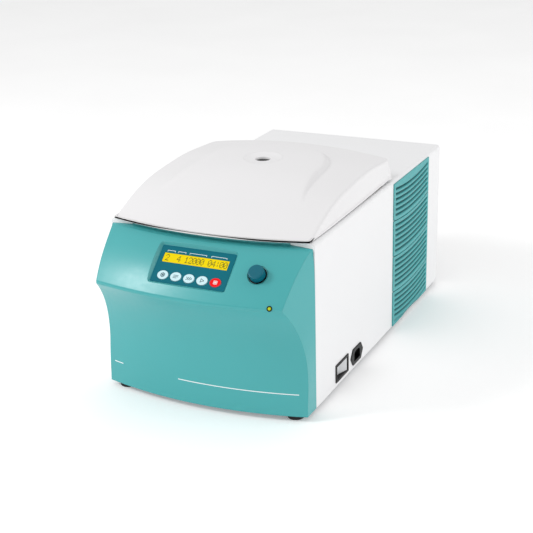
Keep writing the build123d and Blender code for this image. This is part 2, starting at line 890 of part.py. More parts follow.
with BuildPart() as lid_outer:
    add(lid_form(0))
    # Rim all round the lower edge, which is cut along a slightly tilted plane
    with BuildSketch(lid_edge_plane.offset(-lid_rim_height)):
        add(lid_outline(0))
    extrude(amount=2 * lid_rim_height)
    with BuildSketch(lid_edge_plane):
        Rectangle(2 * overall_depth, 2 * overall_depth)
    extrude(amount=2 * lid_rise, mode=Mode.INTERSECT)

with BuildPart() as lid_shell:
    add(lid_outer.part)
    add(lid_form(lid_wall), mode=Mode.SUBTRACT)
    with BuildSketch(Plane.XY.offset(overall_height)):
        with Locations((0, rotor_y)):
            Circle(dish_diameter / 2 + gap)
    extrude(amount=-30, mode=Mode.SUBTRACT)
write(lid_shell.part, "lid_shell")

port_radius = window_diameter / 2 + port_wall
dish_low_z = overall_height - 2 - dish_depth
with BuildPart() as port_ring:
    with BuildSketch(Plane.XZ.offset(-rotor_y)):
        with BuildLine():
            Polyline(
                (window_diameter / 2 - window_ledge, lid_low_z + liner_thickness),
                (port_radius, lid_low_z + liner_thickness),
                (port_radius, dish_low_z - 2),
                (dish_diameter / 2, dish_low_z),
                (dish_diameter / 2, overall_height),
                (dish_diameter / 2 - 2, overall_height),
                (port_radius, dish_low_z + 1.5),
                (window_diameter / 2 + running_gap, dish_low_z + 1.5),
                (window_diameter / 2 + running_gap, dish_low_z - window_thickness),
                (window_diameter / 2 - window_ledge, dish_low_z - window_thickness),
                close=True,
            )
        make_face()
    revolve(axis=ROTOR_AXIS)
    add(lid_outer.part, mode=Mode.INTERSECT)
write(port_ring.part, "port_ring")

with BuildPart() as port_window:
    with BuildSketch(Plane.XY.offset(dish_low_z - window_thickness)):
        with Locations((0, rotor_y)):
            Circle(window_diameter / 2)
    extrude(amount=window_thickness)
write(port_window.part, "port_window")

with BuildPart() as lid_liner:
    add(lid_form(lid_wall + gap))
    with BuildSketch(Plane.XY.offset(lid_low_z)):
        with Locations((0, rotor_y)):
            Rectangle(2 * overall_width, 2 * overall_width)
            Circle(window_diameter / 2 - window_ledge, mode=Mode.SUBTRACT)
    extrude(amount=liner_thickness, mode=Mode.INTERSECT)
write(lid_liner.part, "lid_liner")

with BuildPart() as lid_striker:
    with BuildSketch(Plane.XZ.offset(-striker_y - striker_depth / 2)):
        with Locations((0, lid_low_z - striker_reach / 2)):
            Rectangle(striker_width, striker_reach)
        fillet(vertices().group_by(Axis.Y)[0], 4)
        with Locations((0, bolt_z)):
            Rectangle(
                bolt_width + 2 * bolt_clearance,
                bolt_height + 2 * bolt_clearance,
                mode=Mode.SUBTRACT,
            )
    extrude(amount=striker_depth)
write(lid_striker.part, "lid_striker")

# Lid hinge: barrels behind the lid's rear wall, ears and pins on the deck

hinge_axis_plane = Plane(origin=(0, hinge_y, hinge_z), x_dir=(0, 1, 0), z_dir=(1, 0, 0))
arm_half = hinge_barrel_length / 2
ear_inner = arm_half + hinge_side_gap
ear_outer = ear_inner + hinge_ear
lid_back = tan(radians(lid_rear_lean))

with BuildPart() as lid_arms:
    for side in (-1, 1):
        with BuildSketch(hinge_axis_plane.offset(side * hinge_x - arm_half)):
            Circle(hinge_barrel_diameter / 2)
            with BuildLine():
                plate = lid_rear_y - hinge_y + (lid_low_z - hinge_z) * lid_back
                Polyline(
                    (plate + arm_low * lid_back, -arm_low),
                    (0, -hinge_barrel_diameter / 2),
                    (0, hinge_barrel_diameter / 2),
                    (plate + arm_plate - arm_bend * lid_back, arm_bend),
                    (plate + arm_plate - arm_high * lid_back, arm_high),
                    (plate - arm_high * lid_back, arm_high),
                    close=True,
                )
            make_face()
            Circle(hinge_pin_diameter / 2 + running_gap, mode=Mode.SUBTRACT)
        extrude(amount=hinge_barrel_length)
write(lid_arms.part, "lid_arms")

with BuildPart() as hinge_brackets:
    for side in (-1, 1):
        with BuildSketch(Plane.XY.offset(deck_z)):
            with Locations((side * hinge_x, hinge_y)):
                RectangleRounded(2 * ear_outer, bracket_length, 2)
        extrude(amount=bracket_sheet)
        for low in (-ear_outer, ear_inner):
            with BuildSketch(hinge_axis_plane.offset(side * hinge_x + low)):
                Circle(hinge_barrel_diameter / 2)
                with Locations((0, (deck_z - hinge_z) / 2)):
                    Rectangle(hinge_barrel_diameter, hinge_z - deck_z)
                Circle(hinge_pin_diameter / 2, mode=Mode.SUBTRACT)
            extrude(amount=hinge_ear)
write(hinge_brackets.part, "hinge_brackets")

with BuildPart() as hinge_pins:
    for side in (-1, 1):
        with BuildSketch(hinge_axis_plane.offset(side * hinge_x - ear_outer)):
            Circle(hinge_pin_diameter / 2)
        extrude(amount=2 * ear_outer)
write(hinge_pins.part, "hinge_pins")

# Lid lock: a bolt that slides forward through the striker

lock_front_y = striker_y + striker_depth / 2 + lock_gap
bolt_plane = Plane(origin=(0, lock_front_y, bolt_z), x_dir=(1, 0, 0), z_dir=(0, -1, 0))

with BuildPart() as lock_housing:
    with BuildSketch(bolt_plane.offset(-lock_depth)):
        with Locations((0, (inner_top_z + bolt_z - lock_drop) / 2 - bolt_z)):
            Rectangle(lock_width, inner_top_z - bolt_z + lock_drop)
    extrude(amount=lock_depth)
    with BuildSketch(bolt_plane):
        Rectangle(bolt_width + 2 * running_gap, bolt_height + 2 * running_gap)
    extrude(amount=-lock_depth + lock_wall, mode=Mode.SUBTRACT)
write(lock_housing.part, "lock_housing")

with BuildPart() as lock_bolt:
    with BuildSketch(bolt_plane.offset(-lock_depth + lock_wall + gap)):
        Rectangle(bolt_width, bolt_height)
    extrude(amount=lock_depth - lock_wall - gap)
    chamfer(faces().sort_by(Axis.Y)[0].edges().filter_by(Axis.X), 2)
write(lock_bolt.part, "lock_bolt")

# Chamber

bowl_outer = chamber_radius + bowl_sheet
bowl_low_z = chamber_floor_z - bowl_sheet

with BuildPart() as chamber_space:
    with BuildSketch(Plane.XY.offset(chamber_floor_z)):
        with Locations((0, rotor_y)):
            Circle(chamber_radius)
    extrude(amount=deck_z + lid_gap_z - chamber_floor_z)
    fillet(faces().sort_by(Axis.Z)[0].edges(), bowl_corner)

with BuildPart() as chamber_bowl:
    with BuildSketch(Plane.XY.offset(bowl_low_z)):
        with Locations((0, rotor_y)):
            Circle(bowl_outer)
    extrude(amount=deck_z - bowl_low_z)
    fillet(faces().sort_by(Axis.Z)[0].edges(), bowl_corner + bowl_sheet)
    with BuildSketch(Plane.XY.offset(deck_z)):
        with Locations((0, rotor_y)):
            Circle(chamber_radius + bowl_flange)
    extrude(amount=bowl_sheet)
    add(chamber_space.part, mode=Mode.SUBTRACT)
    with BuildSketch(Plane.XY.offset(bowl_low_z)):
        with Locations((0, rotor_y)):
            Circle(bowl_hole_radius)
    extrude(amount=bowl_sheet, mode=Mode.SUBTRACT)
write(chamber_bowl.part, "chamber_bowl")

with BuildPart() as chamber_gasket:
    with BuildSketch(Plane.XY.offset(deck_z + bowl_sheet)):
        with Locations((0, rotor_y)):
            Circle(chamber_radius + bowl_flange - 2)
            Circle(chamber_radius + bowl_flange - 2 - gasket_width, mode=Mode.SUBTRACT)
    extrude(amount=lid_gap_z - bowl_sheet - gap)
write(chamber_gasket.part, "chamber_gasket")

with BuildPart() as insulation:
    with BuildSketch(Plane.XY.offset(chamber_floor_z + bowl_corner)):
        with Locations((0, rotor_y)):
            Circle(bowl_outer + gap + insulation_thickness)
            Circle(bowl_outer + gap, mode=Mode.SUBTRACT)
    extrude(amount=inner_top_z - gap - chamber_floor_z - bowl_corner)
write(insulation.part, "insulation")

# Rotor with a dished top, its cover and nut

dish_top_radius = rotor_radius - rotor_rim
dish_floor_z = rotor_top_z - (dish_top_radius - dish_floor_radius) * tan(radians(bore_angle))
bore_z = dish_floor_z + (bore_circle_radius - dish_floor_radius) * tan(radians(bore_angle))

with BuildPart() as rotor:
    with BuildSketch(Plane.XZ.offset(-rotor_y)):
        with BuildLine():
            Polyline(
                (shaft_diameter / 2, rotor_base_z),
                (rotor_radius - 8, rotor_base_z),
                (rotor_radius, rotor_base_z + 8),
                (rotor_radius, rotor_top_z),
                (dish_top_radius, rotor_top_z),
                (dish_floor_radius, dish_floor_z),
                (rotor_hub_radius, dish_floor_z),
                (rotor_hub_radius - 4, rotor_top_z),
                (shaft_diameter / 2, rotor_top_z),
                close=True,
            )
        make_face()
    revolve(axis=ROTOR_AXIS)
    # Tube bores, square to the dish and leaning outwards below
    with Locations((0, rotor_y, bore_z)):
        with PolarLocations(bore_circle_radius, bore_count):
            Cylinder(
                bore_diameter / 2,
                2 * bore_depth,
                rotation=(0, -bore_angle, 0),
                mode=Mode.SUBTRACT,
            )
write(rotor.part, "rotor")

with BuildPart() as rotor_cover:
    with BuildSketch(Plane.XZ.offset(-rotor_y)):
        with BuildLine():
            Polyline(
                (stud_diameter / 2 + gap, rotor_top_z),
                (rotor_radius - 1, rotor_top_z),
                (rotor_radius - 1, rotor_top_z + 1.5),
                (rotor_hub_radius + 12, rotor_top_z + rotor_cover_thickness + 1.5),
                (stud_diameter / 2 + gap, rotor_top_z + rotor_cover_thickness + 1.5),
                close=True,
            )
        make_face()
    revolve(axis=ROTOR_AXIS)
write(rotor_cover.part, "rotor_cover")

nut_low_z = rotor_top_z + rotor_cover_thickness + 1.5
with BuildPart() as rotor_nut:
    with BuildSketch(Plane.XY.offset(nut_low_z)):
        with Locations((0, rotor_y)):
            Circle(nut_diameter / 2)
            with PolarLocations(nut_diameter / 2 + 1.5, nut_grips):
                Circle(3, mode=Mode.SUBTRACT)
            Circle(stud_diameter / 2 + running_gap, mode=Mode.SUBTRACT)
    extrude(amount=nut_height)
write(rotor_nut.part, "rotor_nut")

motor_base_z = motor_plate_z + motor_plate_thickness
with BuildPart() as motor_shaft:
    with BuildSketch(Plane.XY.offset(motor_base_z + shaft_end_gap)):
        with Locations((0, rotor_y)):
            Circle(shaft_diameter / 2)
    extrude(amount=rotor_top_z - motor_base_z - shaft_end_gap)
    with BuildSketch(Plane.XY.offset(rotor_top_z)):
        with Locations((0, rotor_y)):
            Circle(stud_diameter / 2)
    extrude(amount=nut_low_z + nut_height - 2 - rotor_top_z)
write(motor_shaft.part, "motor_shaft")

# Drive motor on a plate with three rubber mounts

with BuildPart() as motor_housing:
    with BuildSketch(Plane.XY.offset(motor_base_z)):
        with Locations((0, rotor_y)):
            Circle(motor_diameter / 2)
    extrude(amount=motor_height)
    with BuildSketch(Plane.XY.offset(motor_base_z + 14)):
        with Locations((0, rotor_y)):
            with PolarLocations(motor_diameter / 2 + 2.4, motor_fins):
                Circle(4)
    extrude(amount=motor_height - 28, mode=Mode.SUBTRACT)
    with BuildSketch(Plane.XY.offset(motor_base_z + motor_height)):
        with Locations((0, rotor_y)):
            Circle(motor_boss_radius)
    extrude(amount=motor_boss_height)
    with BuildSketch(Plane.XY.offset(motor_base_z + shaft_end_gap - 0.5)):
        with Locations((0, rotor_y)):
            Circle(shaft_diameter / 2 + running_gap)
    extrude(amount=motor_height + motor_boss_height, mode=Mode.SUBTRACT)
write(motor_housing.part, "motor_housing")

with BuildPart() as motor_plate:
    with BuildSketch(Plane.XY.offset(motor_plate_z)):
        with Locations((0, rotor_y)):
            Circle(motor_plate_radius)
    extrude(amount=motor_plate_thickness)
write(motor_plate.part, "motor_plate")

with BuildPart() as motor_mounts:
    with BuildSketch(Plane.XY.offset(base_top_z)):
        with Locations((0, rotor_y)):
            with PolarLocations(mount_circle_radius, 3, start_angle=90):
                Circle(mount_diameter / 2)
    extrude(amount=motor_plate_z - base_top_z)
write(motor_mounts.part, "motor_mounts")

# Cooling unit: compressor, finned condenser by the right louvres, fan in its shroud

with BuildPart() as compressor:
    with BuildSketch(Plane.XY.offset(base_top_z)):
        with Locations((compressor_x, compressor_y)):
            RectangleRounded(2 * compressor_radius + 12, 2 * compressor_radius, 12)
    extrude(amount=3)
    with BuildSketch(Plane.XY.offset(base_top_z)):
        with Locations((compressor_x, compressor_y)):
            Circle(compressor_radius)
    extrude(amount=compressor_height)
    fillet(faces().sort_by(Axis.Z)[-1].edges(), compressor_dome)
write(compressor.part, "compressor")

condenser_y = louvre_y
condenser_inner_x = condenser_outer_x - condenser_thickness
condenser_top_z = base_top_z + condenser_height
with BuildPart() as condenser:
    with BuildSketch(Plane.YZ.offset(condenser_inner_x)):
        with Locations((condenser_y, base_top_z + condenser_height / 2)):
            Rectangle(condenser_width, condenser_height)
    extrude(amount=condenser_thickness)
    with BuildSketch(Plane.YZ.offset(condenser_outer_x)):
        with Locations((condenser_y, base_top_z + condenser_height / 2)):
            with GridLocations(condenser_width / (fin_count + 1), 0, fin_count, 1):
                Rectangle(fin_slot, condenser_height - 16)
    extrude(amount=-condenser_thickness + 6, mode=Mode.SUBTRACT)
write(condenser.part, "condenser")

fan_plane = Plane(
    origin=(condenser_inner_x, condenser_y, fan_z), x_dir=(0, 1, 0), z_dir=(1, 0, 0)
)
with BuildPart() as fan_shroud:
    with BuildSketch(fan_plane):
        with Locations((0, base_top_z + condenser_height / 2 - fan_z)):
            Rectangle(condenser_width, condenser_height)
        Circle(fan_radius + fan_tip_gap, mode=Mode.SUBTRACT)
    extrude(amount=-shroud_depth)
    with BuildSketch(fan_plane.offset(-shroud_depth)):
        Circle(fan_radius + fan_tip_gap + shroud_wall)
        Circle(fan_radius + fan_tip_gap, mode=Mode.SUBTRACT)
    extrude(amount=-shroud_collar)
write(fan_shroud.part, "fan_shroud")

hub_start = -shroud_depth - shroud_collar + 2
blade_length = fan_radius - fan_hub_radius + 2
with BuildPart() as fan:
    with BuildSketch(fan_plane.offset(hub_start)):
        Circle(fan_hub_radius)
    extrude(amount=fan_hub_depth)
    with Locations(fan_plane.offset(hub_start + fan_hub_depth / 2)):
        with PolarLocations((fan_radius + fan_hub_radius) / 2 - 1, fan_blades):
            Box(blade_length, blade_chord, blade_thickness, rotation=(blade_pitch, 0, 0))
    with BuildSketch(fan_plane.offset(hub_start)):
        Circle(fan_shaft_diameter / 2 + running_gap)
    extrude(amount=fan_hub_depth - 3, mode=Mode.SUBTRACT)
write(fan.part, "fan")

with BuildPart() as fan_motor:
    with BuildSketch(fan_plane.offset(hub_start - fan_motor_gap)):
        Circle(fan_motor_radius)
    extrude(amount=-fan_motor_length)
    with BuildSketch(fan_plane.offset(hub_start - fan_motor_gap)):
        Circle(fan_shaft_diameter / 2)
    extrude(amount=fan_motor_gap + fan_hub_depth - 3.5)
    with BuildSketch(fan_plane.offset(hub_start - fan_motor_gap - 12)):
        with Locations((0, (base_top_z - fan_z) / 2)):
            Rectangle(fan_motor_radius, fan_z - base_top_z)
    extrude(amount=-fan_motor_foot)
write(fan_motor.part, "fan_motor")

pipe_start = (compressor_x, compressor_y, base_top_z + compressor_height)
pipe_end_x = condenser_inner_x + condenser_thickness / 2
with BuildPart() as refrigerant_pipe:
    with BuildLine():
        FilletPolyline(
            pipe_start,
            (compressor_x, compressor_y, pipe_top_z),
            (pipe_end_x, compressor_y, pipe_top_z),
            (pipe_end_x, compressor_y, condenser_top_z),
            radius=pipe_bend,
        )
    with BuildSketch(Plane.XY.offset(pipe_start[2])):
        with Locations((compressor_x, compressor_y)):
            Circle(pipe_diameter / 2)
    sweep()
write(refrigerant_pipe.part, "refrigerant_pipe")

with BuildPart() as power_board:
    with BuildSketch(Plane.XY.offset(base_top_z)):
        with Locations((power_board_x, power_board_y)):
            with GridLocations(power_board_width - 10, power_board_length - 10, 2, 2):
                Circle(3)
    extrude(amount=8)
    with BuildSketch(Plane.XY.offset(base_top_z + 8)):
        with Locations((power_board_x, power_board_y)):
            Rectangle(power_board_width, power_board_length)
    extrude(amount=1.6)
    with BuildSketch(Plane.XY.offset(base_top_z + 9.6)):
        with Locations((power_board_x, power_board_y + 25)):
            Rectangle(power_board_width - 26, 40)
        with Locations((power_board_x, power_board_y - 30)):
            with GridLocations(22, 0, 2, 1):
                Circle(9)
    extrude(amount=28)
write(power_board.part, "power_board")
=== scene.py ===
"""Looks for the refrigerated microcentrifuge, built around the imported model."""

import math

import bmesh
import bpy
from mathutils import Matrix, Vector


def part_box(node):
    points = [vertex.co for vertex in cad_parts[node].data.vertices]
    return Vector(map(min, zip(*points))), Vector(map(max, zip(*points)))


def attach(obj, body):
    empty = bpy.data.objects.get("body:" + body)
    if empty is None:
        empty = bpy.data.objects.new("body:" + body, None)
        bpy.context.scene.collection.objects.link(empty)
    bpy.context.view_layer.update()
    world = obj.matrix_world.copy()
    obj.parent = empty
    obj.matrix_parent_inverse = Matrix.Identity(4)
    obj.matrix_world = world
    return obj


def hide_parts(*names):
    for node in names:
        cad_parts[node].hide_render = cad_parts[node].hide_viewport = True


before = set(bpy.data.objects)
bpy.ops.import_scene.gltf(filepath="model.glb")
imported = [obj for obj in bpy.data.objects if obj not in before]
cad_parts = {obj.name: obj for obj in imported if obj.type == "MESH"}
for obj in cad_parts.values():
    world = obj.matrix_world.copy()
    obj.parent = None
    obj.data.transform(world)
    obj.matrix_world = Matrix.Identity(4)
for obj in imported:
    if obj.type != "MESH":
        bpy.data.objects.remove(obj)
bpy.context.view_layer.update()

MM = 0.001

# ---------------------------------------------------------------- camera
# The camera that fits the photograph, in metres and radians
CAMERA_AT = Vector((0.7954, -1.6965, 0.8277))
CAMERA_YAW = math.radians(25.74)
CAMERA_PITCH = math.radians(20.61)
CAMERA_ROLL = math.radians(-1.48)
FOCAL_PIXELS = 1233.9
IMAGE_PIXELS = 533
SENSOR = 36.0


def make_camera():
    """The camera from its place, turn, tilt and roll."""
    back = Vector((math.sin(CAMERA_YAW) * math.cos(CAMERA_PITCH),
                   -math.cos(CAMERA_YAW) * math.cos(CAMERA_PITCH),
                   math.sin(CAMERA_PITCH)))
    level = Vector((0, 0, 1)).cross(back).normalized()
    above = back.cross(level)
    right = math.cos(CAMERA_ROLL) * level + math.sin(CAMERA_ROLL) * above
    up = math.cos(CAMERA_ROLL) * above - math.sin(CAMERA_ROLL) * level
    data = bpy.data.cameras.new("camera")
    data.sensor_width = SENSOR
    data.lens = SENSOR * FOCAL_PIXELS / IMAGE_PIXELS
    data.clip_start = 0.05
    camera = bpy.data.objects.new("camera", data)
    turn = Matrix((right, up, back)).transposed().to_4x4()
    camera.matrix_world = Matrix.Translation(CAMERA_AT) @ turn
    bpy.context.scene.collection.objects.link(camera)
    bpy.context.scene.camera = camera


# ---------------------------------------------------------------- finishes
# Noise scales, per metre
MOTTLE_SCALE = 9.0
GLOSS_SCALE = 140.0
TARNISH_SCALE = 30.0
COAT_ROUGHNESS = 0.22
EDGE_SAMPLES = 6


def srgb(red, green, blue):
    """A colour given as 0 to 255 screen values, as the shader wants it."""
    return tuple(((c / 255 + 0.055) / 1.055) ** 2.4 if c > 10 else c / 255 / 12.92
                 for c in (red, green, blue)) + (1.0,)


def shade(colour, share):
    """The same colour made lighter or darker."""
    return tuple(min(1.0, c * share) for c in colour[:3]) + (1.0,)


class Nodes:
    """A material and the few node calls that the finishes share."""

    def __init__(self, name):
        self.material = bpy.data.materials.new(name)
        self.material.use_nodes = True
        self.tree = self.material.node_tree
        self.shader = self.tree.nodes["Principled BSDF"]
        self.place = self.tree.nodes.new("ShaderNodeTexCoord").outputs["Object"]

    def add(self, kind, **settings):
        node = self.tree.nodes.new(kind)
        for key, value in settings.items():
            if key in node.inputs:
                node.inputs[key].default_value = value
            else:
                setattr(node, key, value)
        return node

    def join(self, source, target):
        self.tree.links.new(source, target)

    def set(self, **values):
        """Uniform shader values, with _ for the spaces in a socket's name."""
        for key, value in values.items():
            self.shader.inputs[key.replace("_", " ")].default_value = value

    def noise(self, scale, detail=3.0, rough=0.55):
        node = self.add("ShaderNodeTexNoise", Scale=scale, Detail=detail, Roughness=rough)
        self.join(self.place, node.inputs["Vector"])
        return node.outputs["Fac"]

    def spread(self, source, low, high, start=0.3, end=0.7):
        """Stretch the range from start to end over the range from low to high."""
        node = self.add("ShaderNodeMapRange")
        for key, value in (("From Min", start), ("From Max", end),
                           ("To Min", low), ("To Max", high)):
            node.inputs[key].default_value = value
        self.join(source, node.inputs["Value"])
        return node.outputs["Result"]

    def blend(self, source, first, second):
        """Mix two colours."""
        node = self.add("ShaderNodeMix", data_type="RGBA")
        self.join(source, node.inputs["Factor"])
        sockets = [s for s in node.inputs if s.type == "RGBA"]
        for socket, colour in zip(sockets, (first, second)):
            socket.default_value = colour
        return [s for s in node.outputs if s.type == "RGBA"][0]

    def bump(self, source, height, strength=1.0, edge=0.0):
        """Fine relief over slightly rounded edges."""
        node = self.add("ShaderNodeBump", Strength=strength, Distance=height)
        self.join(source, node.inputs["Height"])
        if edge:
            soft = self.add("ShaderNodeBevel", Radius=edge)
            soft.samples = EDGE_SAMPLES
            self.join(soft.outputs["Normal"], node.inputs["Normal"])
        self.join(node.outputs["Normal"], self.shader.inputs["Normal"])


def moulded(name, colour, roughness, grain_scale=2600.0, grain=0.00003, mottle=0.03,
            coat=0.0, specular=0.5, edge=0.0):
    """Moulded plastic or baked paint: faint mottling and a fine spark-eroded grain."""
    m = Nodes(name)
    tint = m.blend(m.spread(m.noise(MOTTLE_SCALE, 2.0), 0.0, 1.0),
                   shade(colour, 1 - mottle), shade(colour, 1 + mottle))
    m.join(tint, m.shader.inputs["Base Color"])
    m.join(m.spread(m.noise(GLOSS_SCALE, 4.0), roughness - 0.03, roughness + 0.04),
           m.shader.inputs["Roughness"])
    m.set(Coat_Weight=coat, Coat_Roughness=COAT_ROUGHNESS, Specular_IOR_Level=specular)
    m.bump(m.noise(grain_scale, 2.0, 0.6), grain, 1.0, edge)
    return m.material


def ribbed_with_painted_shade(name, ridge, groove_shade, shallow, deep):
    """Moulded plastic with painted shade: its grooves, further in towards the middle plane, are
    painted darker.
    """
    m = Nodes(name)
    split = m.add("ShaderNodeSeparateXYZ")
    m.join(m.place, split.inputs["Vector"])
    size = m.add("ShaderNodeMath", operation="ABSOLUTE")
    m.join(split.outputs["X"], size.inputs[0])
    # painted shade: the deeper the surface lies, the darker the teal
    m.join(m.blend(m.spread(size.outputs["Value"], 0.0, 1.0, deep, shallow), groove_shade, ridge),
           m.shader.inputs["Base Color"])
    m.join(m.spread(m.noise(GLOSS_SCALE, 4.0), 0.34, 0.42), m.shader.inputs["Roughness"])
    m.set(Specular_IOR_Level=0.35)
    m.bump(m.noise(1500.0, 2.0, 0.6), 0.00004, 1.0, 0.0008)
    return m.material


def metal(name, colour, roughness, scratch_scale=220.0, stretch=(1.0, 1.0, 12.0)):
    """Bare metal with fine drawn or turned scratches."""
    m = Nodes(name)
    m.set(Metallic=1.0)
    drawn = m.add("ShaderNodeMapping", Scale=stretch)
    m.join(m.place, drawn.inputs["Vector"])
    lines = m.add("ShaderNodeTexNoise", Scale=scratch_scale, Detail=5.0, Roughness=0.65)
    m.join(drawn.outputs["Vector"], lines.inputs["Vector"])
    m.join(m.blend(m.spread(m.noise(TARNISH_SCALE), 0.0, 1.0),
                   shade(colour, 0.92), shade(colour, 1.05)),
           m.shader.inputs["Base Color"])
    m.join(m.spread(lines.outputs["Fac"], roughness - 0.06, roughness + 0.1),
           m.shader.inputs["Roughness"])
    m.bump(lines.outputs["Fac"], 0.00002, 0.6)
    return m.material


# A finish for each slot of the record, then those that only scene pieces and the knob use
finishes = {
    "teal_plastic": moulded("teal_moulding", srgb(70, 170, 172), 0.34, 1500.0, 0.00005, 0.015,
                            coat=0.2, specular=0.4, edge=0.0014),
    "white_paint": moulded("white_paint", srgb(239, 239, 240), 0.42, 1500.0, 0.00004, 0.006,
                           specular=0.3, edge=0.0012),
    "lid_plastic": moulded("lid_moulding", srgb(234, 233, 234), 0.38, 2400.0, 0.00002, 0.006,
                           specular=0.35, edge=0.001),
    "petrol_foil": moulded("petrol_foil", srgb(0, 106, 122), 0.5, 3000.0, 0.00002,
                           specular=0.12),
    "display_yellow": moulded("display_yellow", srgb(244, 216, 0), 0.3, 900.0, 0.00001, 0.02,
                              specular=0.1),
    "key_pale": moulded("key_pale", srgb(208, 238, 244), 0.4, 3000.0, 0.00002, 0.02,
                        specular=0.2),
    "key_red": moulded("key_red", srgb(246, 12, 18), 0.4, 3000.0, 0.00002, 0.02,
                       specular=0.12),
    "board_green": moulded("board_green", srgb(16, 92, 52), 0.35, 700.0, 0.0001, 0.1),
    "black_plastic": moulded("black_plastic", srgb(10, 10, 12), 0.35, 2200.0, 0.00004, 0.1,
                             specular=0.15, edge=0.0004),
    "grey_plastic": moulded("grey_plastic", srgb(208, 210, 212), 0.4, 2200.0, mottle=0.02,
                            edge=0.0005),
    "led_green": moulded("led_green", srgb(188, 205, 10), 0.15, 600.0, 0.00001, 0.1),
    "rubber_black": moulded("rubber_black", srgb(22, 22, 23), 0.7, 1800.0, 0.00006, 0.15),
    "zinc_steel": metal("zinc_steel", srgb(176, 180, 184), 0.36),
    "stainless": metal("stainless", srgb(200, 202, 204), 0.24, 180.0, (12.0, 12.0, 1.0)),
    "aluminium": metal("aluminium", srgb(205, 207, 210), 0.34, 160.0, (1.0, 1.0, 10.0)),
    # the clear port window is made near-black: painted shade for the dark chamber seen through it
    "window_clear": moulded("window_dark_painted_shade", srgb(16, 17, 18), 0.2, 400.0, 0.000005, 0.1,
                            specular=0.15),
    "foam": moulded("foam", srgb(222, 214, 190), 0.85, 900.0, 0.0006, 0.06),
    "copper": metal("copper", srgb(198, 122, 86), 0.3),
    "brass": metal("brass", srgb(206, 172, 96), 0.28),
    "dark_paint": moulded("dark_paint", srgb(34, 35, 38), 0.45, 900.0, 0.0001, 0.1),
    # teal ribs, with the grooves painted darker teal as painted shade
    "louvre_teal_groove_shade": ribbed_with_painted_shade("louvre_teal_groove_shade", srgb(58, 164, 166), srgb(4, 92, 96), 0.1648, 0.1622),
    # grey-brown: partly the seal's own colour, partly painted shade of the gap under the lid
    "seal_grey": moulded("seal_grey", srgb(128, 120, 118), 0.7, 1800.0, 0.00006, 0.05),
    "ink_dark": moulded("ink_dark", srgb(40, 66, 40), 0.5, 3000.0, 0.00001, 0.05,
                        specular=0.1),
    "ink_petrol": moulded("ink_petrol", srgb(10, 70, 84), 0.5, 3000.0, 0.00001, 0.05,
                          specular=0.1),
    "ink_white": moulded("ink_white", srgb(240, 246, 246), 0.5, 3000.0, 0.00001, 0.01,
                         specular=0.2),
    "knob_petrol": moulded("knob_petrol", srgb(0, 98, 116), 0.34, 1800.0,
                           specular=0.3, edge=0.0006),
}

for name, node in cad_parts.items():
    for slot in node.material_slots:
        key = slot.material.name.split(".")[0] if slot.material else ""
        if name == "knob":
            key = "knob_petrol"
        if key in finishes:
            slot.material = finishes[key]


# ---------------------------------------------------------------- mesh helpers
def finished(name, bm, finish, body, place=Matrix.Identity(4), sharp=35.0):
    """Turn a bmesh into a piece that rides on a body."""
    bmesh.ops.remove_doubles(bm, verts=bm.verts, dist=1e-7)
    bmesh.ops.recalc_face_normals(bm, faces=bm.faces)
    data = bpy.data.meshes.new(name)
    bm.transform(place)
    bm.to_mesh(data)
    bm.free()
    for polygon in data.polygons:
        polygon.use_smooth = True
    data.set_sharp_from_angle(angle=math.radians(sharp))
    piece = bpy.data.objects.new(name, data)
    bpy.context.scene.collection.objects.link(piece)
    data.materials.append(finishes[finish])
    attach(piece, body)
    return piece


def add_skin(bm, loops, close=True):
    """Join loops of points, in millimetres. Closed, the last loop also meets the first."""
    rings = [[bm.verts.new((x * MM, y * MM, z * MM)) for x, y, z in loop] for loop in loops]
    for k in range(len(rings) if close else len(rings) - 1):
        first, second = rings[k], rings[(k + 1) % len(rings)]
        for i in range(len(first)):
            j = (i + 1) % len(first)
            bm.faces.new((first[i], first[j], second[j], second[i]))
    return rings


def add_bar(bm, loops):
    """Loops of points joined to a bar with both ends closed."""
    rings = add_skin(bm, loops, close=False)
    bm.faces.new(rings[-1])
    bm.faces.new(list(reversed(rings[0])))


def add_prism(bm, outline, low, high):
    """A low block over a closed outline."""
    add_bar(bm, [[(x, y, z) for x, y in outline] for z in (low, high)])


def add_stroke(bm, start, end, width, low, high):
    """A short printed stroke with square ends."""
    along = (Vector(end) - Vector(start)).normalized() * width / 2
    across = Vector((-along.y, along.x))
    a, b = Vector(start) - along, Vector(end) + along
    add_prism(bm, [tuple(a - across), tuple(b - across), tuple(b + across), tuple(a + across)],
              low, high)


def ellipse(wide, tall, x, y, count=40):
    return [(x + wide / 2 * math.cos(2 * math.pi * i / count),
             y + tall / 2 * math.sin(2 * math.pi * i / count)) for i in range(count)]


def add_ring(bm, outer, inner, low, high):
    """A flat ring between two outlines with the same number of points."""
    add_skin(bm, [[(x, y, z) for x, y in outline]
                  for outline, z in ((outer, low), (outer, high), (inner, high), (inner, low))])


def add_lathe(bm, profile, count):
    """Turn a closed profile of radius and height about Z."""
    turns = [2 * math.pi * i / count for i in range(count)]
    add_skin(bm, [[(r * math.cos(t), r * math.sin(t), z) for t in turns] for r, z in profile])


# ---------------------------------------------------------------- keypad and display
KEYPAD_AT = (0.0015, -0.286, 0.221)
KEYPAD_TILT = math.radians(41.0)
FOIL_TOP = 0.6
GLASS_TOP = 0.3
KEY_TOP = 1.0
KEY_ROW = -17.9
KEY_PITCH = 20.8
KEY_SIZE = (18.2, 15.2)
KEY_BORDER = 0.65
INK = 0.05  # the thickness of print on the foil and the keys
INK_RAISED = 0.06  # and on the display and for the symbols
SYMBOL_WIDTH = 0.75

DISPLAY_TEXT = "2  4 12000 04:00"
TEXT_LEFT = -47.5
TEXT_LOW = 10.4
SIGN_PITCH = 6.15
DOT_PITCH = (1.22, 1.42)
DOT_SIZE = 1.05

